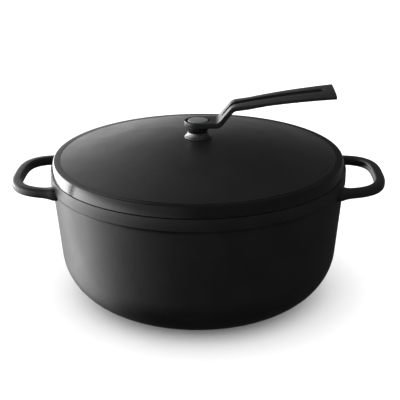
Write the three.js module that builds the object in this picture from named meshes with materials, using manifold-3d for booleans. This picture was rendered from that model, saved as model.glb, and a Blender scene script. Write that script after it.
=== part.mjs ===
// Cast iron dutch oven: a round pot with two cast side loops, a domed lid, and a formed metal
// lever that swivels on a stud through the middle of the lid.
// Units are millimetres. +Z is up, +X points along the lever and through the side loops, and the
// origin is the middle of the base, on the surface that the pot stands on.

import * as THREE from 'three';
import { mergeVertices } from 'three/addons/utils/BufferGeometryUtils.js';
import Module from 'manifold-3d';

const wasm = await Module();
wasm.setup();

// ---- Driving dimensions ----

const gap = 0.3;             // left between pieces that touch on the real object
const bigFacets = 64;        // facets round the pot and the lid
const smallFacets = 24;      // facets round the hardware
const curveSteps = 5;        // straight pieces in each curve of a profile
const domeSteps = 9;         // the same along the long curve of the lid
const weldDistance = 0.004;  // corners closer than this become one

const wall = 5;              // casting thickness of the pot's wall and base
const edgeBreak = 0.8;       // small flat that breaks the outer edges of the castings
const potTaper = THREE.MathUtils.degToRad(4.8);   // the wall leans outwards on its way up
const baseRadius = 87.2;     // flat part of the base
const cornerRadius = 51.6;   // outer round between base and wall
const bandRadius = 146;      // raised band round the rim
const bandBottom = 120.1;
const bandFillet = 5;        // height of the soft fillet under the band
const rimHeight = 132.1;     // top face of the pot's rim
const innerEdgeBreak = 1.2;  // the same on the inner edge of the rim

const lidSideHeight = 10.5;  // flared side of the lid, from its seat to its top edge
const lidEdgeRadius = 142.3; // top edge of that side
const lidRingWidth = 6.6;    // flat ring inside the top edge
const lidThickness = 5.2;
const lidLipRadius = 138.8;  // locating lip that drops inside the rim
const lidLipDepth = 6.2;
const lidLipWidth = 4.6;
const lidBoreRadius = 4.6;   // hole for the stud
const domeTop = 160;         // flat seat for the knob, in the middle of the lid
const domeSeatRadius = 14.6;
const domeBendRadius = 75;   // the curve of the dome is pulled towards a point at this radius
const domeBendDrop = 1.7;    // and this far below the seat

const loop = {               // centre line of a side loop, a superellipse seen from above
  rootX: 129, reach: 49.9, halfWidth: 49.4, squareness: 3.15,
  rootHeight: 118.8, rise: 0.03, width: 10.8, thickness: 9, sectionPower: 0.7,
  swellStart: 138, swellLength: 12, rootSwell: 0.25,   // thicker where it runs into the wall
};

const studRadius = 4.2;      // M8 stud with its thread left plain
const shoulderRadius = 5.4;  // the lever turns on this part of the stud
const headRadius = 9.9;
const headThickness = 1.5;
const headTop = 177.7;

const foot = {
  bottomRadius: 13.5, rimHeight: 0.7, waistRadius: 10.7, waistHeight: 2.4, topRadius: 10.2,
  height: 5.6, recessRadius: 12.3, recessDepth: 1,
};
const neck = {
  bottomRadius: 8.9, flareRadius: 10.1, flareDepth: 3.6, topRadius: 12.2, topEdge: 1,
  recessRadius: 8.9, recessDepth: 0.9,
};
const washerThickness = 0.65;

const lever = {
  eyeRadius: 13.4, eyeBottom: 172.5, eyeTop: 177.4, headPocketRadius: 11.95,
  bendStart: 17, footBend: [19.4, 177.4], stepX: 21.2, stepZ: 179.6,
  bendX: 31, bendZ: 191.5, headBend: [33.3, 194.1], leafX: 37.2, leafZ: 194.9,
  leafBow: [78.9, 203.8], reach: 132, tipZ: 208.6, leafSettles: 70, camberSettles: 52,
  stepThickness: 4.3, tipThickness: 3, widthAtAxis: 24, flare: 0.175, camber: 1.2, edgeRound: 0.9,
  slotStart: 23, slotEnd: 123, slotStartWidth: 5, slotWidth: 10.4, slotFullX: 38,
};

const underNut = { acrossFlats: 13, hexHeight: 3.6, domeHeight: 3.4, boreDepth: 4.9 };
const underWashers = {
  sealRadius: 9.4, sealThickness: 1, flatRadius: 8.9, flatThickness: 1.2,
  lockRadius: 7.1, lockThickness: 1.2, lockSplit: 1.6,
};

// ---- Sizes worked out from them ----

const hardwareBore = studRadius + gap;
const lidSeat = rimHeight + gap;
const lidEdgeTop = lidSeat + lidSideHeight;
const domeFootRadius = lidEdgeRadius - lidRingWidth;
const lidUnderside = domeTop - lidThickness;
const footBottom = domeTop + gap;
const footTop = footBottom + foot.height;
const neckBottom = footTop + gap;
const neckTop = lever.eyeBottom - gap;
const headBottom = headTop - headThickness;
const pocketFloor = headBottom - 2 * gap - washerThickness;
const sealTop = lidUnderside - gap;
const flatTop = sealTop - underWashers.sealThickness - gap;
const lockTop = flatTop - underWashers.flatThickness - gap;
const nutTop = lockTop - underWashers.lockThickness - gap;
const studBottom = nutTop - underNut.boreDepth + 0.6;

// ---- Finishes ----

const finish = (color, roughness, metalness) =>
  new THREE.MeshStandardMaterial({ color, roughness, metalness });

const materials = {
  castIron: finish(0x1c1c1d, 0.5, 0.1),
  blackSteel: finish(0x262626, 0.42, 0.4),
  brushedSteel: finish(0x9a9a9a, 0.3, 1),
  zincSteel: finish(0xa8aaac, 0.35, 1),
  nylon: finish(0xd8d5cc, 0.5, 0),
  silicone: finish(0x3a3a3a, 0.7, 0),
};

// ---- Geometry helpers ----

// A closed three.js geometry as a manifold solid, without the slivers where rings meet the axis.
function solid(geometry) {
  const bare = geometry.clone();
  bare.deleteAttribute('normal');
  bare.deleteAttribute('uv');
  const merged = mergeVertices(bare, 1e-4);
  const index = merged.getIndex().array;
  const triangles = [];
  for (let i = 0; i < index.length; i += 3) {
    const [a, b, c] = [index[i], index[i + 1], index[i + 2]];
    if (a !== b && b !== c && c !== a) triangles.push(a, b, c);
  }
  const vertProperties = new Float32Array(merged.getAttribute('position').array);
  return new wasm.Manifold(
    new wasm.Mesh({ numProp: 3, vertProperties, triVerts: new Uint32Array(triangles) }),
  );
}

function toGeometry(body) {
  const { vertProperties, triVerts } = body.setTolerance(weldDistance).getMesh();
  const geometry = new THREE.BufferGeometry();
  geometry.setAttribute('position', new THREE.BufferAttribute(new Float32Array(vertProperties), 3));
  geometry.setIndex(new THREE.BufferAttribute(new Uint32Array(triVerts), 1));
  geometry.computeVertexNormals();
  return geometry;
}

// A profile of radius and height turned about Z. It starts and ends on the axis, or closes on itself.
function turned(points, facets) {
  const geometry = new THREE.LatheGeometry(points, facets);
  geometry.rotateX(Math.PI / 2);
  return solid(geometry);
}

const profile = (pairs) => pairs.map(([radius, height]) => new THREE.Vector2(radius, height));

// A plain ring with a square section, such as a washer.
function ring(innerRadius, outerRadius, bottom, top) {
  return turned(profile([
    [innerRadius, bottom], [outerRadius, bottom], [outerRadius, top], [innerRadius, top],
    [innerRadius, bottom],
  ]), smallFacets);
}

function disc(radius, bottom, top, facets = smallFacets) {
  return turned(profile([[0, bottom], [radius, bottom], [radius, top], [0, top]]), facets);
}

// Rings of the same number of points joined into one closed skin with a fan over each end.
function loft(rings) {
  const count = rings[0].length;
  const points = rings.flat();
  const triangles = [];
  for (let r = 0; r < rings.length - 1; r += 1) {
    for (let i = 0; i < count; i += 1) {
      const a = r * count + i;
      const b = r * count + ((i + 1) % count);
      triangles.push(a, b, b + count, a, b + count, a + count);
    }
  }
  const last = (rings.length - 1) * count;
  for (let i = 1; i < count - 1; i += 1) {
    triangles.push(0, i + 1, i);
    triangles.push(last, last + i, last + i + 1);
  }
  const geometry = new THREE.BufferGeometry().setFromPoints(points);
  geometry.setIndex(triangles);
  return solid(geometry);
}

// ---- Pot ----

function potProfile(offset) {
  const path = new THREE.Path();
  path.moveTo(0, offset);
  path.lineTo(baseRadius, offset);
  path.absarc(baseRadius, cornerRadius, cornerRadius - offset, -Math.PI / 2, -potTaper, false);
  return path;
}

// Radius of the outer wall, or of a skin inside it, on the straight stretch above the corner.
function wallRadius(height, offset = 0) {
  const cornerX = baseRadius + (cornerRadius - offset) * Math.cos(potTaper);
  const cornerZ = cornerRadius - (cornerRadius - offset) * Math.sin(potTaper);
  return cornerX + (height - cornerZ) * Math.tan(potTaper);
}

function potOuter() {
  const path = potProfile(0);
  const filletBottom = bandBottom - bandFillet;
  path.lineTo(wallRadius(filletBottom), filletBottom);
  path.lineTo(wallRadius(bandBottom) + 0.5, bandBottom - bandFillet / 2);
  path.lineTo(bandRadius - edgeBreak / 2, bandBottom);
  path.lineTo(bandRadius, bandBottom + edgeBreak);
  path.lineTo(bandRadius, rimHeight - edgeBreak);
  path.lineTo(bandRadius - edgeBreak, rimHeight);
  path.lineTo(0, rimHeight);
  return turned(path.getPoints(curveSteps), bigFacets);
}

function potCavity() {
  const above = rimHeight + 4;
  const mouthRadius = wallRadius(rimHeight, wall) + innerEdgeBreak;
  const path = potProfile(wall);
  path.lineTo(wallRadius(rimHeight - innerEdgeBreak, wall), rimHeight - innerEdgeBreak);
  path.lineTo(mouthRadius, rimHeight);
  path.lineTo(mouthRadius, above);
  path.lineTo(0, above);
  return turned(path.getPoints(curveSteps), bigFacets);
}

// Section of a side loop at one point of its centre line, swollen where it runs into the wall.
function loopRing(centre, tangent, side) {
  const sides = 12;
  const fromWall = Math.max(0, centre.x - loop.swellStart) / loop.swellLength;
  const swell = 1 + loop.rootSwell * Math.max(0, 1 - fromWall) ** 2;
  const across = new THREE.Vector3(-tangent.y, tangent.x, 0).normalize();
  const points = [];
  for (let i = 0; i < sides; i += 1) {
    const angle = (2 * Math.PI * (i + 0.5)) / sides;
    const u = Math.sign(Math.cos(angle)) * Math.abs(Math.cos(angle)) ** loop.sectionPower;
    const v = Math.sign(Math.sin(angle)) * Math.abs(Math.sin(angle)) ** loop.sectionPower;
    const point = centre.clone().addScaledVector(across, (u * loop.width * swell) / 2);
    point.z += (v * loop.thickness * swell) / 2;
    points.push(new THREE.Vector3(point.x * side, point.y * side, point.z));
  }
  return points;
}

function loopCentre(angle) {
  const power = 2 / loop.squareness;
  const x = loop.rootX + loop.reach * Math.abs(Math.cos(angle)) ** power;
  const y = loop.halfWidth * Math.sign(Math.sin(angle)) * Math.abs(Math.sin(angle)) ** power;
  return new THREE.Vector3(x, y, loop.rootHeight + (x - loop.rootX) * loop.rise);
}

// side is 1 for the loop on +X and -1 for the one on -X, which is the same loop turned half round.
function sideLoop(side) {
  const steps = 30;
  const rings = [];
  for (let i = 0; i <= steps; i += 1) {
    const angle = -Math.PI / 2 + (Math.PI * i) / steps;
    const before = loopCentre(Math.max(angle - 0.02, -Math.PI / 2));
    const after = loopCentre(Math.min(angle + 0.02, Math.PI / 2));
    rings.push(loopRing(loopCentre(angle), after.sub(before), side));
  }
  return loft(rings);
}

function potBody() {
  return potOuter().add(sideLoop(1)).add(sideLoop(-1)).subtract(potCavity());
}

// ---- Lid ----

function lid() {
  const lipBottom = lidSeat - lidLipDepth;
  const lipInnerRadius = lidLipRadius - lidLipWidth;
  const undersideEdge = lidEdgeTop - lidThickness;
  const path = new THREE.Path();
  path.moveTo(lidBoreRadius, lidUnderside);
  path.lineTo(domeSeatRadius, lidUnderside);
  path.quadraticCurveTo(domeBendRadius, lidUnderside - domeBendDrop, lipInnerRadius - 3, undersideEdge);
  path.lineTo(lipInnerRadius, lidSeat + 2);
  path.lineTo(lipInnerRadius, lipBottom);
  path.lineTo(lidLipRadius - edgeBreak, lipBottom);
  path.lineTo(lidLipRadius, lipBottom + edgeBreak);
  path.lineTo(lidLipRadius, lidSeat);
  path.lineTo(bandRadius - edgeBreak, lidSeat);
  path.lineTo(bandRadius, lidSeat + edgeBreak);
  path.lineTo(lidEdgeRadius + edgeBreak / 2, lidEdgeTop - edgeBreak);
  path.lineTo(lidEdgeRadius - edgeBreak, lidEdgeTop);
  path.lineTo(domeFootRadius + edgeBreak, lidEdgeTop);
  path.quadraticCurveTo(domeBendRadius, domeTop - domeBendDrop, domeSeatRadius, domeTop);
  path.lineTo(lidBoreRadius, domeTop);
  path.closePath();
  return turned(path.getPoints(domeSteps), bigFacets);
}

// ---- Knob on the lid ----

function footGasket() {
  return ring(hardwareBore, foot.recessRadius - gap, footBottom,
    footBottom + foot.recessDepth - gap);
}

// Flared steel foot, waisted, with a recess below for the gasket.
function knobFoot() {
  const recessTop = footBottom + foot.recessDepth;
  const path = new THREE.Path();
  path.moveTo(hardwareBore, recessTop);
  path.lineTo(foot.recessRadius, recessTop);
  path.lineTo(foot.recessRadius, footBottom);
  path.lineTo(foot.bottomRadius, footBottom);
  path.lineTo(foot.bottomRadius, footBottom + foot.rimHeight);
  path.quadraticCurveTo(foot.waistRadius, footBottom + foot.waistHeight, foot.topRadius, footTop);
  path.lineTo(hardwareBore, footTop);
  path.closePath();
  return turned(path.getPoints(curveSteps), smallFacets);
}

// Black collar between the foot and the lever, widening upwards, with a recess for its washer.
function knobNeck() {
  const recessFloor = neckTop - neck.recessDepth;
  const path = new THREE.Path();
  path.moveTo(hardwareBore, neckBottom);
  path.lineTo(neck.bottomRadius, neckBottom);
  path.quadraticCurveTo(neck.flareRadius, neckTop - neck.flareDepth,
    neck.topRadius, neckTop - neck.topEdge);
  path.lineTo(neck.topRadius, neckTop);
  path.lineTo(neck.recessRadius, neckTop);
  path.lineTo(neck.recessRadius, recessFloor);
  path.lineTo(hardwareBore, recessFloor);
  path.closePath();
  return turned(path.getPoints(curveSteps), smallFacets);
}

function lowerWasher() {
  const bottom = neckTop - neck.recessDepth + gap;
  return ring(shoulderRadius + gap, neck.recessRadius - gap, bottom, lever.eyeBottom - gap);
}

function upperWasher() {
  const bottom = pocketFloor + gap;
  return ring(shoulderRadius + gap, headRadius - 1.2, bottom, bottom + washerThickness);
}

// Wide flat head, shoulder that the lever turns on, and the stud down through the lid.
function pivotStud() {
  const edge = 0.4;
  const shoulderBottom = neckTop - neck.recessDepth + gap;
  return turned(profile([
    [0, studBottom], [studRadius - 0.6, studBottom], [studRadius, studBottom + 0.6],
    [studRadius, shoulderBottom], [shoulderRadius, shoulderBottom], [shoulderRadius, headBottom],
    [headRadius, headBottom], [headRadius, headTop - edge], [headRadius - edge, headTop],
    [0, headTop],
  ]), smallFacets * 1.5);
}

// ---- Lever ----

// Top surface of the lever along its middle, in the plane of X and Z: flat over the stud, a steep
// step up, and then a leaf that rises gently to its tip.
function leverPath() {
  const path = new THREE.Path();
  path.moveTo(0, lever.eyeTop);
  path.lineTo(lever.bendStart, lever.eyeTop);
  path.quadraticCurveTo(...lever.footBend, lever.stepX, lever.stepZ);
  path.lineTo(lever.bendX, lever.bendZ);
  path.quadraticCurveTo(...lever.headBend, lever.leafX, lever.leafZ);
  path.quadraticCurveTo(...lever.leafBow, lever.reach, lever.tipZ);
  return path;
}

function leverWidth(x) {
  return Math.max(2 * lever.eyeRadius, lever.widthAtAxis + lever.flare * x);
}

// One section: a thin bar with rounded long edges, bowed so that its middle stands highest.
function leverRing(top, normal) {
  const along = 6;
  const half = leverWidth(top.x) / 2;
  const past = THREE.MathUtils.smoothstep(top.x, lever.bendStart, lever.bendX);
  const out = THREE.MathUtils.smoothstep(top.x, lever.bendX, lever.leafSettles);
  const rootThickness = THREE.MathUtils.lerp(lever.eyeTop - lever.eyeBottom, lever.stepThickness, past);
  const thickness = THREE.MathUtils.lerp(rootThickness, lever.tipThickness, out);
  const bowed = THREE.MathUtils.smoothstep(top.x, lever.bendX, lever.camberSettles);
  const round = lever.edgeRound * past;
  const point = (y, depth) => {
    const drop = depth + bowed * lever.camber * (y / half) ** 2;
    return new THREE.Vector3(top.x - normal.x * drop, y, top.y - normal.y * drop);
  };
  const points = [];
  points.push(point(-half, thickness - round));
  points.push(point(-half, round));
  for (let i = 0; i <= along; i += 1) points.push(point((half - round) * ((2 * i) / along - 1), 0));
  points.push(point(half, round));
  points.push(point(half, thickness - round));
  for (let i = along; i >= 0; i -= 1) {
    points.push(point((half - round) * ((2 * i) / along - 1), thickness));
  }
  return points.reverse();
}

function leverBar() {
  const path = leverPath();
  const tops = path.getPoints(7);
  const rings = tops.map((top, i) => {
    const before = tops[Math.max(i - 1, 0)];
    const after = tops[Math.min(i + 1, tops.length - 1)];
    const direction = after.clone().sub(before).normalize();
    return leverRing(top, new THREE.Vector2(-direction.y, direction.x));
  });
  return loft(rings);
}

// Slot down the middle of the lever: narrow on the step, full width on the leaf, round at its end.
function leverSlot() {
  const startRadius = lever.slotStartWidth / 2;
  const radius = lever.slotWidth / 2;
  const shape = new THREE.Shape();
  shape.moveTo(lever.slotStart + startRadius, -startRadius);
  shape.lineTo(lever.slotFullX, -radius);
  shape.lineTo(lever.slotEnd - radius, -radius);
  shape.absarc(lever.slotEnd - radius, 0, radius, -Math.PI / 2, Math.PI / 2, false);
  shape.lineTo(lever.slotFullX, radius);
  shape.lineTo(lever.slotStart + startRadius, startRadius);
  shape.absarc(lever.slotStart + startRadius, 0, startRadius, Math.PI / 2, 1.5 * Math.PI, false);
  const geometry = new THREE.ExtrudeGeometry(shape, {
    depth: lever.tipZ - lever.eyeBottom + 20, bevelEnabled: false, curveSegments: 5,
  });
  geometry.translate(0, 0, lever.eyeBottom - 10);
  return solid(geometry);
}

function leverBody() {
  const through = [lever.eyeBottom - 1, lever.eyeTop + 1];
  return disc(lever.eyeRadius, lever.eyeBottom, lever.eyeTop, smallFacets * 1.5)
    .add(leverBar())
    .subtract(leverSlot())
    .subtract(disc(shoulderRadius + gap, ...through))
    .subtract(disc(lever.headPocketRadius, pocketFloor, through[1], smallFacets * 2));
}

// ---- Fastening under the lid ----

function sealWasher() {
  return ring(hardwareBore, underWashers.sealRadius, sealTop - underWashers.sealThickness,
    sealTop);
}

function flatWasher() {
  return ring(hardwareBore, underWashers.flatRadius, flatTop - underWashers.flatThickness,
    flatTop);
}

// Spring washer: a square-section ring with a narrow split on -X.
function lockWasher() {
  const { lockRadius, lockThickness, lockSplit } = underWashers;
  const whole = ring(hardwareBore, lockRadius, lockTop - lockThickness, lockTop);
  const split = new THREE.BoxGeometry(2 * lockRadius, lockSplit, 3 * lockThickness);
  split.translate(-lockRadius, 0, lockTop - lockThickness / 2);
  return whole.subtract(solid(split));
}

// Hexagon nut with a dome on its lower end and a blind bore from above.
function domeNut() {
  const hexRadius = underNut.acrossFlats / 2 / Math.cos(Math.PI / 6);
  const hexBottom = nutTop - underNut.hexHeight;
  const domeRadius = underNut.acrossFlats / 2 - 0.5;
  const hexagon = disc(hexRadius, hexBottom, nutTop, 6);
  const path = new THREE.Path();
  path.moveTo(0, hexBottom - underNut.domeHeight);
  path.quadraticCurveTo(domeRadius, hexBottom - underNut.domeHeight, domeRadius, hexBottom);
  path.lineTo(domeRadius, hexBottom + 1);
  path.lineTo(0, hexBottom + 1);
  const bore = disc(hardwareBore, nutTop - underNut.boreDepth, nutTop + 1);
  return hexagon.add(turned(path.getPoints(curveSteps), smallFacets)).subtract(bore);
}

// ---- Assembly ----

const pieces = [
  ['pot_body', potBody(), materials.castIron],
  ['lid', lid(), materials.castIron],
  ['foot_gasket', footGasket(), materials.silicone],
  ['knob_foot', knobFoot(), materials.brushedSteel],
  ['knob_neck', knobNeck(), materials.blackSteel],
  ['lower_washer', lowerWasher(), materials.nylon],
  ['lever', leverBody(), materials.blackSteel],
  ['upper_washer', upperWasher(), materials.nylon],
  ['pivot_stud', pivotStud(), materials.brushedSteel],
  ['seal_washer', sealWasher(), materials.silicone],
  ['flat_washer', flatWasher(), materials.zincSteel],
  ['lock_washer', lockWasher(), materials.zincSteel],
  ['dome_nut', domeNut(), materials.zincSteel],
];

const dutchOven = new THREE.Group();
for (const [name, body, material] of pieces) {
  const mesh = new THREE.Mesh(toGeometry(body), material);
  mesh.name = name;
  dutchOven.add(mesh);
}

export default dutchOven;
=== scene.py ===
import math
from bisect import bisect_right

import bmesh
import bpy
from mathutils import Matrix, Vector


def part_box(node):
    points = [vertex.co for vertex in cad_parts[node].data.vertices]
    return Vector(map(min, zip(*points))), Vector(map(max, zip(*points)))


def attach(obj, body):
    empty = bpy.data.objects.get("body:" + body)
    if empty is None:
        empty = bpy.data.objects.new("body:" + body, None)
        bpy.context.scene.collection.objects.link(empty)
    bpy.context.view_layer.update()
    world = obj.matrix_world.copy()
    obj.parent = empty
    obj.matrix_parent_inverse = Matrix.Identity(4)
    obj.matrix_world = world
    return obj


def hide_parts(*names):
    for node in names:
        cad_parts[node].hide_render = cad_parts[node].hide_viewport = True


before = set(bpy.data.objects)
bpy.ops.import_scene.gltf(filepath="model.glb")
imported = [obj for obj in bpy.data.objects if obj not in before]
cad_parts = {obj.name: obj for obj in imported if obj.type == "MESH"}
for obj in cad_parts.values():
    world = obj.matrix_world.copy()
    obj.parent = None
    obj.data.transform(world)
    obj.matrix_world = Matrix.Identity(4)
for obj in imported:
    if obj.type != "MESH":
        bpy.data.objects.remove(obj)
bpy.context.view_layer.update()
print("frame loaded,", len(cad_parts), "nodes")

mm = 0.001  # the spec dictionaries are in millimetres, everything in the scene is in metres
closeBy = 0.01  # places nearer than this count as the same
mergeBelow = 0.001


def clearSelection():
    if bpy.context.mode != "OBJECT":
        bpy.ops.object.mode_set(mode="OBJECT")
    bpy.ops.object.select_all(action="DESELECT")


def selectOnly(piece):
    clearSelection()
    piece.select_set(True)
    bpy.context.view_layer.objects.active = piece


def editMode(piece, kind="VERT"):
    selectOnly(piece)
    bpy.ops.object.mode_set(mode="EDIT")
    bpy.ops.mesh.select_mode(type=kind)


def newPiece(name):
    piece = bpy.context.object
    piece.name = piece.data.name = name
    return piece


def pickVertices(piece, wanted):
    mesh = bmesh.from_edit_mesh(piece.data)
    bpy.ops.mesh.select_all(action="DESELECT")
    for vertex in mesh.verts:
        if wanted(vertex.co / mm):
            vertex.select_set(True)
    mesh.select_flush_mode()
    bmesh.update_edit_mesh(piece.data)


def pickEdges(piece, wanted):
    mesh = bmesh.from_edit_mesh(piece.data)
    bpy.ops.mesh.select_all(action="DESELECT")
    for edge in mesh.edges:
        if wanted(edge.verts[0].co / mm, edge.verts[1].co / mm):
            edge.select_set(True)
    bmesh.update_edit_mesh(piece.data)


def pickFaces(piece, wanted):
    mesh = bmesh.from_edit_mesh(piece.data)
    bpy.ops.mesh.select_all(action="DESELECT")
    for face in mesh.faces:
        if wanted(face.calc_center_median() / mm, face.normal):
            face.select_set(True)
    bmesh.update_edit_mesh(piece.data)


def useBoolean(piece, cutter, operation):
    modifier = piece.modifiers.new("boolean", "BOOLEAN")
    modifier.object = cutter
    modifier.operation = operation
    modifier.solver = "EXACT"
    selectOnly(piece)
    bpy.ops.object.modifier_apply(modifier=modifier.name)
    bpy.data.objects.remove(cutter)


def roundSharpEdges(piece, width, segments=3, angle=50):
    modifier = piece.modifiers.new("soft edges", "BEVEL")
    modifier.width = width * mm
    modifier.segments = segments
    modifier.limit_method = "ANGLE"
    modifier.angle_limit = math.radians(angle)
    selectOnly(piece)
    bpy.ops.object.modifier_apply(modifier=modifier.name)


def smoothPiece(piece, angle=32):
    selectOnly(piece)
    bpy.ops.object.shade_smooth_by_angle(angle=math.radians(angle))


def arcPoints(centre, radius, fromAngle, toAngle, steps):
    points = []
    for i in range(steps + 1):
        angle = math.radians(fromAngle + (toAngle - fromAngle) * i / steps)
        points.append((centre[0] + radius * math.cos(angle), centre[1] + radius * math.sin(angle)))
    return points


def bowPoints(start, pull, end, steps):
    points = []
    for i in range(steps + 1):
        t = i / steps
        points.append(tuple(
            a * (1 - t) ** 2 + 2 * b * t * (1 - t) + c * t ** 2 for a, b, c in zip(start, pull, end)))
    return points


def turnPiece(name, points, rounds=(), closed=False, steps=192, roundSteps=4):
    # the profile is drawn point by point, its corners are rounded, then it is spun
    clearSelection()
    bpy.ops.mesh.primitive_plane_add(size=mm, location=(0, 0, 0))
    piece = newPiece(name)
    editMode(piece)
    bpy.ops.mesh.select_all(action="SELECT")
    bpy.ops.mesh.merge(type="CENTER")
    bpy.ops.transform.translate(value=(points[0][0] * mm, 0, points[0][1] * mm))
    if closed:
        points = list(points) + [points[0]]
    for here, there in zip(points, points[1:]):
        move = ((there[0] - here[0]) * mm, 0, (there[1] - here[1]) * mm)
        bpy.ops.mesh.extrude_region_move(TRANSFORM_OT_translate={"value": move})
    bpy.ops.mesh.select_all(action="SELECT")
    bpy.ops.mesh.remove_doubles(threshold=mergeBelow * mm)
    for radius, height, cut in rounds:  # cut is the length taken off each side of the corner
        pickVertices(piece, lambda co: math.hypot(co.x - radius, co.z - height) < closeBy)
        bpy.ops.mesh.bevel(
            offset=cut * mm, offset_type="OFFSET", segments=roundSteps, affect="VERTICES")
    bpy.ops.mesh.select_all(action="SELECT")
    bpy.ops.mesh.spin(steps=steps, angle=2 * math.pi, center=(0, 0, 0), axis=(0, 0, 1))
    bpy.ops.mesh.select_all(action="SELECT")
    bpy.ops.mesh.remove_doubles(threshold=mergeBelow * mm)
    bpy.ops.mesh.normals_make_consistent(inside=False)
    clearSelection()
    return piece


def linearColour(hexValue):
    # the sRGB curve
    channels = [int(hexValue[i:i + 2], 16) / 255 for i in (0, 2, 4)]
    linear = [c / 12.92 if c <= 0.04045 else ((c + 0.055) / 1.055) ** 2.4 for c in channels]
    return (*linear, 1)


def addNode(tree, kind, settings=None, values=None, links=None):
    node = tree.nodes.new(kind)
    for name, value in (settings or {}).items():
        setattr(node, name, value)
    for name, value in (values or {}).items():
        node.inputs[name].default_value = value
    for name, source in (links or {}).items():
        tree.links.new(source, node.inputs[name])
    return node


def startMaterial(name):
    material = bpy.data.materials.new(name)
    material.use_nodes = True
    tree = material.node_tree
    tree.nodes.clear()
    return material, tree, addNode(tree, "ShaderNodeTexCoord").outputs["Object"]


def shades(spec):
    return {6: linearColour(spec["dark"]), 7: linearColour(spec["light"])}


noiseLow, noiseHigh = 0.3, 0.7  # where nearly all of a noise lies


def finishMaterial(tree, spec, shaderValues, tint, polish, normal):
    # one noise mixes the two shades, one goes from the low roughness to the high
    colour = addNode(tree, "ShaderNodeMix", {"data_type": "RGBA"}, shades(spec),
                     {"Factor": tint.outputs["Fac"]})
    rough = addNode(tree, "ShaderNodeMapRange", values={
        "From Min": noiseLow, "From Max": noiseHigh,
        "To Min": spec["roughLow"], "To Max": spec["roughHigh"]}, links={"Value": polish.outputs["Fac"]})
    shader = addNode(tree, "ShaderNodeBsdfPrincipled", values=shaderValues, links={
        "Base Color": colour.outputs[2], "Roughness": rough.outputs["Result"],
        "Normal": normal.outputs["Normal"]})
    addNode(tree, "ShaderNodeOutputMaterial", links={"Surface": shader.outputs["BSDF"]})


def perMetre(sizeInMm):
    return 1 / (sizeInMm * mm)  # noise scale for a pattern whose lumps are that size


castSpec = {
    "dark": "060607", "light": "0a0a0b",  # two blacks, a shade apart
    "pebbleSize": 2.4, "pebbleDepth": 0.14,  # lumps left by the sand mould under the enamel
    "grainSize": 0.8, "grainDepth": 0.04,
    "cloudSize": 28, "roughLow": 0.34, "roughHigh": 0.42,
}


def makeCastEnamel(name, spec):
    # Matte black enamel fired on sand-cast iron: the light spreads into a wide satin sheen, and
    # the pebbled skin of the casting breaks it up very slightly.
    material, tree, place = startMaterial(name)
    clouds = addNode(tree, "ShaderNodeTexNoise", values={
        "Scale": perMetre(spec["cloudSize"]), "Detail": 3}, links={"Vector": place})
    pebbles = addNode(tree, "ShaderNodeTexNoise", values={
        "Scale": perMetre(spec["pebbleSize"]), "Detail": 3, "Roughness": 0.6}, links={"Vector": place})
    grain = addNode(tree, "ShaderNodeTexNoise", values={
        "Scale": perMetre(spec["grainSize"]), "Detail": 1}, links={"Vector": place})
    low = addNode(tree, "ShaderNodeBump", values={"Distance": spec["pebbleDepth"] * mm},
                  links={"Height": pebbles.outputs["Fac"]})
    fine = addNode(tree, "ShaderNodeBump", values={"Distance": spec["grainDepth"] * mm},
                   links={"Height": grain.outputs["Fac"], "Normal": low.outputs["Normal"]})
    finishMaterial(tree, spec, {"IOR": 1.5}, clouds, clouds, fine)
    return material


# the lid's ring and flared side are ground before they are enamelled, so they shine more
groundSpec = {
    **castSpec, "pebbleDepth": 0.035, "grainDepth": 0.02, "roughLow": 0.13, "roughHigh": 0.17,
}

powderSpec = {
    "dark": "060607", "light": "0a0a0b",
    "peelSize": 1.1, "peelDepth": 0.02,  # orange peel of a baked powder coat
    "speckSize": 0.35, "speckDepth": 0.008,
    "cloudSize": 14, "roughLow": 0.4, "roughHigh": 0.48,
}


def makePowderCoat(name, spec):
    # Black powder coat baked on sheet steel: a little smoother than the casting, with the faint
    # orange peel that such a coat keeps.
    material, tree, place = startMaterial(name)
    clouds = addNode(tree, "ShaderNodeTexNoise", values={
        "Scale": perMetre(spec["cloudSize"])}, links={"Vector": place})
    peel = addNode(tree, "ShaderNodeTexNoise", values={
        "Scale": perMetre(spec["peelSize"])}, links={"Vector": place})
    specks = addNode(tree, "ShaderNodeTexNoise", values={
        "Scale": perMetre(spec["speckSize"]), "Detail": 0}, links={"Vector": place})
    low = addNode(tree, "ShaderNodeBump", values={"Distance": spec["peelDepth"] * mm},
                  links={"Height": peel.outputs["Fac"]})
    fine = addNode(tree, "ShaderNodeBump", values={"Distance": spec["speckDepth"] * mm},
                   links={"Height": specks.outputs["Fac"], "Normal": low.outputs["Normal"]})
    finishMaterial(tree, spec, {"IOR": 1.5}, clouds, clouds, fine)
    return material


steelSpec = {
    "dark": "8f9092", "light": "b9babb",
    "scratchWidth": 0.12, "scratchLength": 14,  # belt marks; real ones are nearer 0.05 wide
    "scratchDepth": 0.004, "roughLow": 0.4, "roughHigh": 0.52,
}


def makeBrushedSteel(name, spec):
    # Stainless steel finished on a belt: fine straight lines across the head of the stud.
    material, tree, place = startMaterial(name)
    across = perMetre(spec["scratchWidth"])
    stretched = addNode(tree, "ShaderNodeMapping", values={
        "Scale": (perMetre(spec["scratchLength"]), across, across)}, links={"Vector": place})
    lines = addNode(tree, "ShaderNodeTexNoise", values={"Scale": 1},
                    links={"Vector": stretched.outputs["Vector"]})
    ridges = addNode(tree, "ShaderNodeBump", values={"Distance": spec["scratchDepth"] * mm},
                     links={"Height": lines.outputs["Fac"]})
    finishMaterial(tree, spec, {"Metallic": 1}, lines, lines, ridges)
    return material


lathedSpec = {
    "dark": "66676a", "light": "7e7f82",
    "ringWidth": 0.22, "ringDepth": 0.004,  # feed marks of the turning tool
    "cloudSize": 3, "roughLow": 0.26, "roughHigh": 0.36,
}


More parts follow.
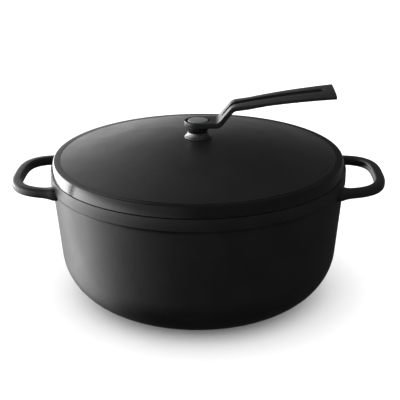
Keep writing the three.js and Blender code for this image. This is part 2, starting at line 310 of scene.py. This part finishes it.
def makeLathedSteel(name, spec):
    # Stainless steel turned on a lathe: bright, with fine rings round its axis.
    material, tree, place = startMaterial(name)
    parts = addNode(tree, "ShaderNodeSeparateXYZ", links={"Vector": place})
    flat = addNode(tree, "ShaderNodeCombineXYZ", links={
        "X": parts.outputs["X"], "Y": parts.outputs["Y"]})
    outwards = addNode(tree, "ShaderNodeVectorMath", {"operation": "LENGTH"},
                       links={"Vector": flat.outputs["Vector"]})
    along = addNode(tree, "ShaderNodeMath", {"operation": "ADD"}, links={
        0: outwards.outputs["Value"], 1: parts.outputs["Z"]})
    rings = addNode(tree, "ShaderNodeTexNoise", {"noise_dimensions": "1D"},
                    {"Scale": perMetre(spec["ringWidth"])}, {"W": along.outputs["Value"]})
    clouds = addNode(tree, "ShaderNodeTexNoise", values={
        "Scale": perMetre(spec["cloudSize"])}, links={"Vector": place})
    ridges = addNode(tree, "ShaderNodeBump", values={"Distance": spec["ringDepth"] * mm},
                     links={"Height": rings.outputs["Fac"]})
    finishMaterial(tree, spec, {"Metallic": 1}, clouds, rings, ridges)
    return material


siliconeSpec = {
    "dark": "1d1d1e", "light": "29292a", "skinSize": 0.5, "skinDepth": 0.01,
    "roughLow": 0.55, "roughHigh": 0.68,
}
nylonSpec = {
    "dark": "c9c4b6", "light": "dcd8cc", "skinSize": 0.8, "skinDepth": 0.008,
    "roughLow": 0.4, "roughHigh": 0.52,
}


def makeMoulded(name, spec, shaderValues):
    material, tree, place = startMaterial(name)
    skin = addNode(tree, "ShaderNodeTexNoise", values={
        "Scale": perMetre(spec["skinSize"]), "Detail": 3}, links={"Vector": place})
    bump = addNode(tree, "ShaderNodeBump", values={"Distance": spec["skinDepth"] * mm},
                   links={"Height": skin.outputs["Fac"]})
    finishMaterial(tree, spec, shaderValues, skin, skin, bump)
    return material


castEnamel = makeCastEnamel("matteEnamelOnCastIron", castSpec)
groundEnamel = makeCastEnamel("matteEnamelOnGroundIron", groundSpec)
powderCoat = makePowderCoat("blackPowderCoat", powderSpec)
brushedSteel = makeBrushedSteel("brushedStainlessSteel", steelSpec)
lathedSteel = makeLathedSteel("turnedStainlessSteel", lathedSpec)
# Silicone rubber: dark, dull and slightly grainy, with no clear highlight.
silicone = makeMoulded("mouldedSilicone", siliconeSpec, {"IOR": 1.42})
# Unfilled nylon, pressed from sheet: off-white and waxy.
nylon = makeMoulded("naturalNylon", nylonSpec, {"IOR": 1.53})
print("materials made")


# heights and radii read from the frame
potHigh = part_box("pot_body")[1]
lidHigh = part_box("lid")[1]
footLow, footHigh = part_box("knob_foot")
neckLow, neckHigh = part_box("knob_neck")
leverLow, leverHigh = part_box("lever")
studLow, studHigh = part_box("pivot_stud")
bandRadius = potHigh.y / mm
rimHeight = potHigh.z / mm
domeTop = lidHigh.z / mm
touchGap = footLow.z / mm - domeTop  # room left between pieces that touch


potSpec = {
    "wall": 5, "lean": 4.8, "baseRadius": 87.2, "cornerRadius": 51.6,  # the lean is in degrees
    "bandBottom": 120.1, "bandFillet": 5, "bandLift": 0.3,  # the fillet ends this far up the band
    "filletPull": (0.2, 0.6),  # how far in and down of the band's foot its middle is drawn
    "bandRound": 0.5, "edgeRound": 0.5,
    "mouthRound": 1.2, "mouthSlope": 1.6, "mouthBlend": 0.8,  # a slope as deep as 1.6 times its width
    "mouthOver": 0.05, "cutAbove": 6,  # how far the inside's cutter stands over the rim
    "cornerSteps": 24, "filletSteps": 6,
}


def wallRadius(height, depth=0):
    lean = math.radians(potSpec["lean"])
    reach = potSpec["cornerRadius"] - depth
    cornerX = potSpec["baseRadius"] + reach * math.cos(lean)
    cornerZ = potSpec["cornerRadius"] - reach * math.sin(lean)
    return cornerX + (height - cornerZ) * math.tan(lean)


def cornerPoints(depth):
    centre = (potSpec["baseRadius"], potSpec["cornerRadius"])
    return arcPoints(centre, potSpec["cornerRadius"] - depth, -90, -potSpec["lean"],
                     potSpec["cornerSteps"])


def makePotOutside():
    spec = potSpec
    filletBottom = spec["bandBottom"] - spec["bandFillet"]
    bandEdge = (bandRadius, spec["bandBottom"] + spec["bandLift"])
    inwards, downwards = spec["filletPull"]
    fillet = bowPoints(
        (wallRadius(filletBottom), filletBottom),
        (wallRadius(spec["bandBottom"]) - inwards, spec["bandBottom"] - downwards),
        bandEdge, spec["filletSteps"])
    points = [(0, 0), *cornerPoints(0), *fillet, (bandRadius, rimHeight), (0, rimHeight)]
    rounds = [(*bandEdge, spec["bandRound"]), (bandRadius, rimHeight, spec["edgeRound"])]
    return turnPiece("pot", points, rounds)


def makePotInside():
    spec = potSpec
    above = rimHeight + spec["cutAbove"]
    mouth = wallRadius(rimHeight, spec["wall"]) + spec["mouthRound"]
    below = rimHeight - spec["mouthRound"] * spec["mouthSlope"]
    points = [(0, spec["wall"]), *cornerPoints(spec["wall"]),
              (wallRadius(below, spec["wall"]), below), (mouth, rimHeight + spec["mouthOver"]),
              (mouth, above), (0, above)]
    rounds = [(wallRadius(below, spec["wall"]), below, spec["mouthBlend"])]
    return turnPiece("potInside", points, rounds)


loopSpec = {  # a half superellipse seen from above, rounded rectangle in section
    "rootX": 129, "reach": 49.7, "halfWidth": 49.4, "squareness": 3.15, "rootHeight": 118.8,
    "rise": 0.03, "width": 10.8, "thickness": 9, "sectionRound": 3.2,
    "swell": 0.25, "swellStart": 138, "swellLength": 12,
    "flare": 0.14, "flareLength": 2.6,
    "steps": 72, "fineSteps": 2000, "roundSteps": 5,
}


def loopCentre(angle):
    spec = loopSpec
    power = 2 / spec["squareness"]
    x = spec["rootX"] + spec["reach"] * abs(math.cos(angle)) ** power
    y = spec["halfWidth"] * math.copysign(abs(math.sin(angle)) ** power, angle)
    return Vector((x, y, spec["rootHeight"] + (x - spec["rootX"]) * spec["rise"]))


def loopSwell(centre):
    spec = loopSpec
    outside = math.hypot(centre.x, centre.y) - bandRadius
    near = max(0, 1 - max(0, centre.x - spec["swellStart"]) / spec["swellLength"])
    flare = spec["flare"] * math.exp(-max(0, outside) / spec["flareLength"])
    return 1 + spec["swell"] * near ** 2 + flare


def loopPath():
    # even steps along the arms as well as round the end
    count = loopSpec["fineSteps"]
    fine = [loopCentre(math.pi * (i / count - 0.5)) for i in range(count + 1)]
    lengths = [0]
    for a, b in zip(fine, fine[1:]):
        lengths.append(lengths[-1] + (b - a).length)
    path = []
    for i in range(loopSpec["steps"] + 1):
        goal = lengths[-1] * i / loopSpec["steps"]
        path.append(fine[min(bisect_right(lengths, goal), count)])
    path[0] = fine[0]
    return path


def makeLoop(name):
    spec = loopSpec
    path = loopPath()
    clearSelection()
    bpy.ops.mesh.primitive_plane_add(size=1, location=path[0] * mm, rotation=(0, math.pi / 2, 0))
    loop = newPiece(name)
    bpy.ops.object.transform_apply(location=True, rotation=True, scale=True)
    editMode(loop)
    bpy.ops.mesh.select_all(action="SELECT")
    size = loopSwell(path[0])
    bpy.ops.transform.resize(
        value=(1, spec["width"] * size * mm, spec["thickness"] * size * mm),
        center_override=path[0] * mm)
    bpy.ops.mesh.bevel(
        offset=spec["sectionRound"] * size * mm, segments=spec["roundSteps"], affect="VERTICES")
    bpy.ops.mesh.select_all(action="SELECT")
    heading = 0
    for here, there, after in zip(path, path[1:], path[2:] + [path[-1]]):
        bpy.ops.mesh.extrude_region_move(TRANSFORM_OT_translate={"value": (there - here) * mm})
        ahead = after - here
        turn = math.atan2(ahead.y, ahead.x) - heading
        heading += turn
        bpy.ops.transform.rotate(value=-turn, orient_axis="Z", center_override=there * mm)
        grow = loopSwell(there) / size
        size *= grow
        bpy.ops.transform.resize(value=(grow, grow, grow), center_override=there * mm)
    bpy.ops.mesh.select_all(action="SELECT")
    bpy.ops.mesh.normals_make_consistent(inside=False)
    clearSelection()
    return loop


def makePot():
    pot = makePotOutside()
    right = makeLoop("rightLoop")
    left = makeLoop("leftLoop")
    editMode(left)
    bpy.ops.mesh.select_all(action="SELECT")
    bpy.ops.transform.rotate(value=math.pi, orient_axis="Z", center_override=(0, 0, 0))
    clearSelection()
    useBoolean(pot, right, "UNION")
    useBoolean(pot, left, "UNION")
    useBoolean(pot, makePotInside(), "DIFFERENCE")
    smoothPiece(pot)
    pot.data.materials.append(castEnamel)
    return pot


pot = makePot()
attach(pot, "pot")
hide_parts("pot_body")
print("pot made,", len(pot.data.polygons), "faces")


lidSpec = {
    "sideHeight": 10.5, "edgeRadius": 142.3, "ringWidth": 6.6, "thickness": 5.2,
    "lipRadius": 138.8, "lipDepth": 6.2, "lipWidth": 4.6, "boreRadius": 4.6,
    "seatRadius": 14.6, "bendRadius": 75, "bendDrop": 1.7, "sideRound": 1.1, "topRound": 0.9,
    "lipRound": 0.8, "ringRound": 0.6, "underRound": 1.2,
    "lipRoot": 2, "underEdge": 3,  # where the inside of the lip ends, above the seat and inwards
    "topSteps": 32, "underSteps": 24, "smoothAngle": 24,
}


def makeLid():
    spec = lidSpec
    seat = rimHeight + touchGap
    top = seat + spec["sideHeight"]
    lipInner = spec["lipRadius"] - spec["lipWidth"]
    lipBottom = seat - spec["lipDepth"]
    under = domeTop - spec["thickness"]
    ringInner = spec["edgeRadius"] - spec["ringWidth"]
    bend = spec["bendRadius"]
    innerEdge = (lipInner - spec["underEdge"], top - spec["thickness"])
    lipTop = (lipInner, seat + spec["lipRoot"])
    points = [
        (spec["boreRadius"], under),
        *bowPoints((spec["seatRadius"], under), (bend, under - spec["bendDrop"]), innerEdge,
                   spec["underSteps"]),
        lipTop, (lipInner, lipBottom), (spec["lipRadius"], lipBottom),
        (spec["lipRadius"], seat), (bandRadius, seat), (spec["edgeRadius"], top),
        *bowPoints((ringInner, top), (bend, domeTop - spec["bendDrop"]),
                   (spec["seatRadius"], domeTop), spec["topSteps"]),
        (spec["boreRadius"], domeTop),
    ]
    rounds = [
        (lipInner, lipBottom, spec["lipRound"]), (spec["lipRadius"], lipBottom, spec["lipRound"]),
        (bandRadius, seat, spec["sideRound"]), (spec["edgeRadius"], top, spec["topRound"]),
        (ringInner, top, spec["ringRound"]), (*innerEdge, spec["underRound"]),
        (*lipTop, spec["underRound"]),
    ]
    lid = turnPiece("domedLid", points, rounds, closed=True)
    smoothPiece(lid, spec["smoothAngle"])
    lid.data.materials.append(castEnamel)
    lid.data.materials.append(groundEnamel)
    for face in lid.data.polygons:  # the flat ring and the flared side are ground before enamelling
        centre = face.center / mm
        if math.hypot(centre.x, centre.y) > ringInner and centre.z > seat - closeBy:
            face.material_index = 1
    return lid


lid = makeLid()
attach(lid, "lid_assembly")
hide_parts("lid")
print("lid made,", len(lid.data.polygons), "faces")


footSpec = {
    "bottomRadius": 13.5, "rimHeight": 0.7, "waistRadius": 10.7, "waistHeight": 2.4,
    "topRadius": 10.2, "recessRadius": 12.3, "recessDepth": 1, "boreRadius": 4.5,
    "baseRound": 0.2, "rimRound": 0.15, "topRound": 0.3,
}
neckSpec = {
    "bottomRadius": 8.9, "flareRadius": 10.1, "flareDepth": 3.6, "topRadius": 12.2, "topEdge": 1,
    "recessRadius": 8.9, "recessDepth": 0.9, "boreRadius": 4.5, "endRound": 0.25, "flareRound": 0.2,
}
studSpec = {
    "shankRadius": 4.2, "shoulderRadius": 5.4, "headRadius": 9.9, "headThickness": 1.5,
    "headRound": 0.35, "tipChamfer": 0.6,
}
knobSteps, flankSteps = 96, 10


def makeFoot():
    spec = footSpec
    low, high = footLow.z / mm, footHigh.z / mm
    flank = bowPoints((spec["bottomRadius"], low + spec["rimHeight"]),
                      (spec["waistRadius"], low + spec["waistHeight"]),
                      (spec["topRadius"], high), flankSteps)
    points = [(spec["boreRadius"], low + spec["recessDepth"]),
              (spec["recessRadius"], low + spec["recessDepth"]), (spec["recessRadius"], low),
              (spec["bottomRadius"], low), *flank, (spec["boreRadius"], high)]
    rounds = [(spec["bottomRadius"], low, spec["baseRound"]),
              (spec["bottomRadius"], low + spec["rimHeight"], spec["rimRound"]),
              (spec["topRadius"], high, spec["topRound"])]
    foot = turnPiece("steelFoot", points, rounds, closed=True, steps=knobSteps)
    smoothPiece(foot)
    foot.data.materials.append(lathedSteel)
    return foot


def makeNeck():
    spec = neckSpec
    low, high = neckLow.z / mm, neckHigh.z / mm
    floor = high - spec["recessDepth"]
    flank = bowPoints((spec["bottomRadius"], low), (spec["flareRadius"], high - spec["flareDepth"]),
                      (spec["topRadius"], high - spec["topEdge"]), flankSteps)
    points = [*flank, (spec["topRadius"], high), (spec["recessRadius"], high),
              (spec["recessRadius"], floor), (spec["boreRadius"], floor), (spec["boreRadius"], low)]
    rounds = [(spec["topRadius"], high, spec["endRound"]),
              (spec["topRadius"], high - spec["topEdge"], spec["flareRound"]),
              (spec["bottomRadius"], low, spec["endRound"])]
    neck = turnPiece("blackNeck", points, rounds, closed=True, steps=knobSteps)
    smoothPiece(neck)
    neck.data.materials.append(powderCoat)
    return neck


def makeStud():
    spec = studSpec
    low, high = studLow.z / mm, studHigh.z / mm
    shoulder = neckHigh.z / mm - neckSpec["recessDepth"] + touchGap
    underHead = high - spec["headThickness"]
    points = [(0, low), (spec["shankRadius"] - spec["tipChamfer"], low),
              (spec["shankRadius"], low + spec["tipChamfer"]), (spec["shankRadius"], shoulder),
              (spec["shoulderRadius"], shoulder), (spec["shoulderRadius"], underHead),
              (spec["headRadius"], underHead), (spec["headRadius"], high), (0, high)]
    rounds = [(spec["headRadius"], high, spec["headRound"]),
              (spec["headRadius"], underHead, spec["headRound"])]
    stud = turnPiece("flatHeadStud", points, rounds, steps=knobSteps)
    smoothPiece(stud)
    stud.data.materials.append(brushedSteel)
    return stud


foot, neck, stud = makeFoot(), makeNeck(), makeStud()
for piece, node, slot in ((foot, "knob_foot", "steel"), (neck, "knob_neck", "black_steel"),
                          (stud, "pivot_stud", "steel")):
    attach(piece, "lid_assembly")
    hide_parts(node)
print("foot, neck and stud made")


# The lever is cut flat as a blank, then bent to its line.
leverSpec = {
    "eyeRadius": 13.4, "eyeTop": 177.4, "pocketRadius": 12, "boreRadius": 5.7, "pocketDepth": 2.45,
    "bendStart": 17, "footBend": (19.4, 177.4), "step": (21.2, 179.6), "bend": (31, 191.5),
    "headBend": (33.3, 194.1), "leaf": (37.2, 194.9), "leafBow": (78.9, 203.8),
    "widthAtAxis": 24, "flare": 0.175, "stepThickness": 4.3, "tipThickness": 3,
    "leafSettles": 70, "camber": 1.2, "camberSettles": 52, "edgeRound": 0.7, "cornerRound": 0.8,
    "slotStart": 23, "slotEnd": 123, "slotStartWidth": 5, "slotWidth": 10.4, "slotFullX": 38,
    "slotStartRound": 0.96, "slotEndRound": 0.98,  # of half the slot's width
    "cutClear": 2, "slopeReach": 0.6, "smoothAngle": 38,  # how far the cutters pass the blank
    "lineStart": -20, "bendSteps": 12, "leafSteps": 40,
    "eyeSteps": 128, "boreSteps": 64, "cornerSteps": 4, "slotStartSteps": 6, "slotEndSteps": 10,
    "bendCuts": (15, 1, 26), "leafCuts": (43, 3.5, 26),  # first, spacing and count along X
    "widthCuts": (-19, -15, -10, 10, 15, 19),  # Y of the cuts along its length
}
leverReach = 132
leverTip = leverHigh.z / mm
leverBlank = leverSpec["eyeTop"] - leverLow.z / mm  # thickness of the flat blank


def leverLine():
    # top of the lever along its middle, as X and Z
    spec = leverSpec
    line = [(spec["lineStart"], spec["eyeTop"]), (0, spec["eyeTop"])]
    line += bowPoints((spec["bendStart"], spec["eyeTop"]), spec["footBend"], spec["step"],
                      spec["bendSteps"])
    line += bowPoints(spec["bend"], spec["headBend"], spec["leaf"], spec["bendSteps"])
    line += bowPoints(spec["leaf"], spec["leafBow"], (leverReach, leverTip), spec["leafSteps"])[1:]
    end, before = line[-1], line[-2]
    line.append((2 * end[0] - before[0], 2 * end[1] - before[1]))
    return line


def easeBetween(value, low, high):
    t = min(max((value - low) / (high - low), 0), 1)
    return t * t * (3 - 2 * t)


def lineAt(line, x):
    i = min(max(bisect_right([p[0] for p in line], x) - 1, 0), len(line) - 2)
    (x0, z0), (x1, z1) = line[i], line[i + 1]
    return z0 + (z1 - z0) * (x - x0) / (x1 - x0)


def leverHalfWidth(x):
    return max(leverSpec["eyeRadius"], (leverSpec["widthAtAxis"] + leverSpec["flare"] * x) / 2)


def bentPoint(line, flat):
    spec = leverSpec
    x, y, depth = flat.x, flat.y, leverBlank - flat.z
    past = easeBetween(x, spec["bendStart"], spec["bend"][0])
    out = easeBetween(x, spec["bend"][0], spec["leafSettles"])
    thickness = leverBlank + (spec["stepThickness"] - leverBlank) * past
    thickness += (spec["tipThickness"] - thickness) * out
    camber = spec["camber"] * easeBetween(x, spec["bend"][0], spec["camberSettles"])
    drop = depth * thickness / leverBlank + camber * (y / leverHalfWidth(x)) ** 2
    near = spec["slopeReach"]
    slope = math.atan((lineAt(line, x + near) - lineAt(line, x - near)) / (2 * near))
    return Vector((x + math.sin(slope) * drop, y, lineAt(line, x) - math.cos(slope) * drop))


def addCylinder(name, radius, low, high, vertices):
    clearSelection()
    bpy.ops.mesh.primitive_cylinder_add(
        vertices=vertices, radius=radius * mm, depth=(high - low) * mm,
        location=(0, 0, (low + high) / 2 * mm))
    piece = newPiece(name)
    bpy.ops.object.transform_apply(location=True, rotation=True, scale=True)
    return piece


def addTaperedBar(name, start, end, bottom, top):
    # a bar along X from (x, half width) to (x, half width)
    clearSelection()
    length = end[0] - start[0]
    bpy.ops.mesh.primitive_cube_add(
        size=1, location=((start[0] + end[0]) / 2 * mm, 0, (bottom + top) / 2 * mm),
        scale=(length * mm, 2 * start[1] * mm, (top - bottom) * mm))
    bar = newPiece(name)
    bpy.ops.object.transform_apply(location=True, rotation=True, scale=True)
    editMode(bar)
    pickVertices(bar, lambda co: co.x > end[0] - closeBy)
    bpy.ops.transform.resize(
        value=(1, end[1] / start[1], 1), center_override=(end[0] * mm, 0, 0))
    return bar


def extendBar(bar, x, newX, ratio):
    # the face at the end of the bar goes on to the new X, where it is that much wider
    pickFaces(bar, lambda centre, normal: centre.x > x - closeBy and normal.x > 0.9)
    bpy.ops.mesh.extrude_region_move(
        TRANSFORM_OT_translate={"value": ((newX - x) * mm, 0, 0)})
    bpy.ops.transform.resize(value=(1, ratio, 1), center_override=(newX * mm, 0, 0))


def roundUprights(bar, x, radius, segments):
    pickEdges(bar, lambda a, b: abs(a.x - x) < closeBy and abs(b.x - x) < closeBy
              and abs(a.y - b.y) < closeBy)
    bpy.ops.mesh.bevel(offset=radius * mm, segments=segments, affect="EDGES")


def makeSlotCutter():
    spec = leverSpec
    startHalf, half = spec["slotStartWidth"] / 2, spec["slotWidth"] / 2
    cutter = addTaperedBar("slotCutter", (spec["slotStart"], startHalf), (spec["slotFullX"], half),
                           -spec["cutClear"], leverBlank + spec["cutClear"])
    extendBar(cutter, spec["slotFullX"], spec["slotEnd"], 1)
    roundUprights(cutter, spec["slotStart"], startHalf * spec["slotStartRound"],
                  spec["slotStartSteps"])
    roundUprights(cutter, spec["slotEnd"], half * spec["slotEndRound"], spec["slotEndSteps"])
    clearSelection()
    return cutter


def bisectAcross(piece, places, normal):
    editMode(piece)
    for place in places:
        bpy.ops.mesh.select_all(action="SELECT")
        point = [place * mm * n for n in normal]
        bpy.ops.mesh.bisect(plane_co=point, plane_no=normal)
    clearSelection()


def makeLever():
    spec = leverSpec
    flatX = (2 * spec["eyeRadius"] - spec["widthAtAxis"]) / spec["flare"]
    lever = addCylinder("leverBlank", spec["eyeRadius"], 0, leverBlank, spec["eyeSteps"])
    bar = addTaperedBar("leverBar", (0, spec["eyeRadius"]), (flatX, spec["eyeRadius"]), 0, leverBlank)
    extendBar(bar, flatX, leverReach, leverHalfWidth(leverReach) / spec["eyeRadius"])
    roundUprights(bar, leverReach, spec["cornerRound"], spec["cornerSteps"])
    useBoolean(lever, bar, "UNION")
    useBoolean(lever, makeSlotCutter(), "DIFFERENCE")
    above = leverBlank + spec["cutClear"]
    bore = addCylinder("bore", spec["boreRadius"], -spec["cutClear"], above, spec["boreSteps"])
    useBoolean(lever, bore, "DIFFERENCE")
    pocketFloor = leverBlank - spec["pocketDepth"]
    pocket = addCylinder("pocket", spec["pocketRadius"], pocketFloor, above, spec["eyeSteps"])
    useBoolean(lever, pocket, "DIFFERENCE")
    roundSharpEdges(lever, spec["edgeRound"])
    for first, spacing, count in (spec["bendCuts"], spec["leafCuts"]):
        bisectAcross(lever, [first + spacing * i for i in range(count)], (1, 0, 0))
    bisectAcross(lever, spec["widthCuts"], (0, 1, 0))
    line = leverLine()
    for vertex in lever.data.vertices:
        vertex.co = bentPoint(line, vertex.co / mm) * mm
    lever.name = lever.data.name = "slottedLever"
    smoothPiece(lever, spec["smoothAngle"])
    lever.data.materials.append(powderCoat)
    return lever


lever = makeLever()
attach(lever, "lever")
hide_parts("lever")
print("lever made,", len(lever.data.polygons), "faces")


# the hidden hardware keeps its frame nodes and gets real finishes
for node, finish in (("foot_gasket", silicone), ("seal_washer", silicone),
                     ("lower_washer", nylon), ("upper_washer", nylon),
                     ("flat_washer", lathedSteel), ("lock_washer", lathedSteel),
                     ("dome_nut", lathedSteel)):
    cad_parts[node].material_slots[0].material = finish
print("hardware finished")


floorSpec = {"size": 14000, "below": 0.2, "dark": "f2f2f2", "light": "f6f6f6", "blotchSize": 60}


def makeFloor():
    # A sweep of seamless paper: white, dull and even.
    spec = floorSpec
    clearSelection()
    bpy.ops.mesh.primitive_plane_add(size=spec["size"] * mm, location=(0, 0, -spec["below"] * mm))
    floor = newPiece("floor")
    material, tree, place = startMaterial("seamlessPaper")
    blotches = addNode(tree, "ShaderNodeTexNoise", values={
        "Scale": perMetre(spec["blotchSize"])}, links={"Vector": place})
    colour = addNode(tree, "ShaderNodeMix", {"data_type": "RGBA"}, shades(spec),
                     {"Factor": blotches.outputs["Fac"]})
    paper = addNode(tree, "ShaderNodeBsdfDiffuse", links={"Color": colour.outputs[2]})
    clear = addNode(tree, "ShaderNodeBsdfTransparent")
    side = addNode(tree, "ShaderNodeNewGeometry")
    sweep = addNode(tree, "ShaderNodeMixShader", links={  # seen from below it is clear
        0: side.outputs["Backfacing"], 1: paper.outputs["BSDF"], 2: clear.outputs["BSDF"]})
    addNode(tree, "ShaderNodeOutputMaterial", links={"Surface": sweep.outputs["Shader"]})
    floor.data.materials.append(material)
    floor.visible_glossy = False  # what reflections see of a floor is part of the sky


# The studio's sky. Soft light comes from all of it, a little more from the left. In reflections it
# is a stack of rings, from under the pot up to the ceiling, and each ring is given as heading in
# degrees (0 is straight behind the pot, minus is to the left) and brightness.
skySpec = {
    "fillLeft": 2.0, "fillRight": 1.36, "peak": 10,
    "underneath": ((-180, 0.02),),
    "floorBounce": ((-180, 0.03), (-142, 0.25), (-120, 0.6), (-101, 1.4), (-80, 3.1), (-65, 3.7),
                    (-50, 2.8), (-35, 0.8), (-20, 0.15), (0, 0.04), (60, 0.03), (180, 0.03)),
    "cards": ((-180, 0.03), (-150, 0.5), (-135, 1), (-119, 2.4), (-100, 4.5), (-80, 7.5),
              (-76, 8), (-75, 0.3), (-70, 0.3), (-69, 10), (-50, 9), (-31, 6), (-19, 3),
              (-7, 1.5), (2, 0.3), (20, 0.14), (60, 0.07), (110, 0.05), (180, 0.03)),
    "upperCards": ((-180, 0.03), (-135, 0.5), (-100, 1.6), (-60, 2), (-31, 1.2), (-18, 0.7),
                   (-10, 0.36), (-5.5, 0.03), (180, 0.03)),
    "ceiling": ((-180, 0.04),),
    "turns": (("floorBounce", -60, -30), ("cards", -20, -12), ("upperCards", 3, 16),
              ("ceiling", 30, 60)),  # the elevations over which the ring below turns to this one
}


def setRing(elements, ring):
    elements.remove(elements[1])
    for i, (degrees, brightness) in enumerate(ring):
        element = elements[0] if i == 0 else elements.new((degrees + 180) / 360)
        element.position = (degrees + 180) / 360
        grey = brightness / skySpec["peak"]
        element.color = (grey, grey, grey, 1)


def makeReflections(tree, heading, height):
    spec = skySpec
    lowest = addNode(tree, "ShaderNodeValToRGB", links={"Fac": heading})
    setRing(lowest.color_ramp.elements, spec["underneath"])
    below = lowest.outputs["Color"]
    for name, low, high in spec["turns"]:
        ring = addNode(tree, "ShaderNodeValToRGB", links={"Fac": heading})
        setRing(ring.color_ramp.elements, spec[name])
        turn = addNode(tree, "ShaderNodeMapRange", {"interpolation_type": "SMOOTHSTEP"}, {
            "From Min": math.sin(math.radians(low)), "From Max": math.sin(math.radians(high))},
            {"Value": height})
        both = addNode(tree, "ShaderNodeMix", {"data_type": "RGBA"}, links={
            "Factor": turn.outputs["Result"], 6: below, 7: ring.outputs["Color"]})
        below = both.outputs[2]
    return below


def makeWorld():
    spec = skySpec
    world = bpy.data.worlds.new("studio")
    bpy.context.scene.world = world
    world.use_nodes = True
    tree = world.node_tree
    tree.nodes.clear()
    way = addNode(tree, "ShaderNodeSeparateXYZ", links={
        "Vector": addNode(tree, "ShaderNodeTexCoord").outputs["Generated"]})
    turn = addNode(tree, "ShaderNodeMath", {"operation": "ARCTAN2"}, links={
        0: way.outputs["X"], 1: way.outputs["Y"]})
    heading = addNode(tree, "ShaderNodeMapRange", values={"From Min": -math.pi, "From Max": math.pi},
                      links={"Value": turn.outputs["Value"]})
    sheen = makeReflections(tree, heading.outputs["Result"], way.outputs["Z"])
    fill = addNode(tree, "ShaderNodeMapRange", values={
        "From Min": -1, "To Min": spec["fillLeft"], "To Max": spec["fillRight"]},
        links={"Value": way.outputs["X"]})
    path = addNode(tree, "ShaderNodeLightPath")
    soft = addNode(tree, "ShaderNodeBackground", values={"Color": (1, 1, 1, 1)},
                   links={"Strength": fill.outputs["Result"]})
    shine = addNode(tree, "ShaderNodeBackground", values={"Strength": spec["peak"]},
                    links={"Color": sheen})
    pick = addNode(tree, "ShaderNodeMixShader", links={
        0: path.outputs["Is Glossy Ray"], 1: soft.outputs["Background"],
        2: shine.outputs["Background"]})
    addNode(tree, "ShaderNodeOutputWorld", links={"Surface": pick.outputs["Shader"]})


cameraSpec = {
    "place": (22.3, -890.5, 441.9),
    "down": 21.379, "heading": 1.0, "roll": -0.274, "lens": 85.05, "sensor": 36, "shift": -0.0131,
}


def makeCamera():
    spec = cameraSpec
    clearSelection()
    bpy.ops.object.camera_add(location=Vector(spec["place"]) * mm)
    camera = newPiece("camera")
    camera.data.lens = spec["lens"]
    camera.data.sensor_width = spec["sensor"]
    camera.data.shift_x = spec["shift"]
    turn = (Matrix.Rotation(math.radians(spec["heading"]), 4, "Z")
            @ Matrix.Rotation(math.radians(90 - spec["down"]), 4, "X")
            @ Matrix.Rotation(math.radians(spec["roll"]), 4, "Z"))
    camera.rotation_euler = turn.to_euler()
    bpy.context.scene.camera = camera


makeFloor()
makeWorld()
makeCamera()
bpy.context.scene.view_settings.view_transform = "Standard"
print("stage set")
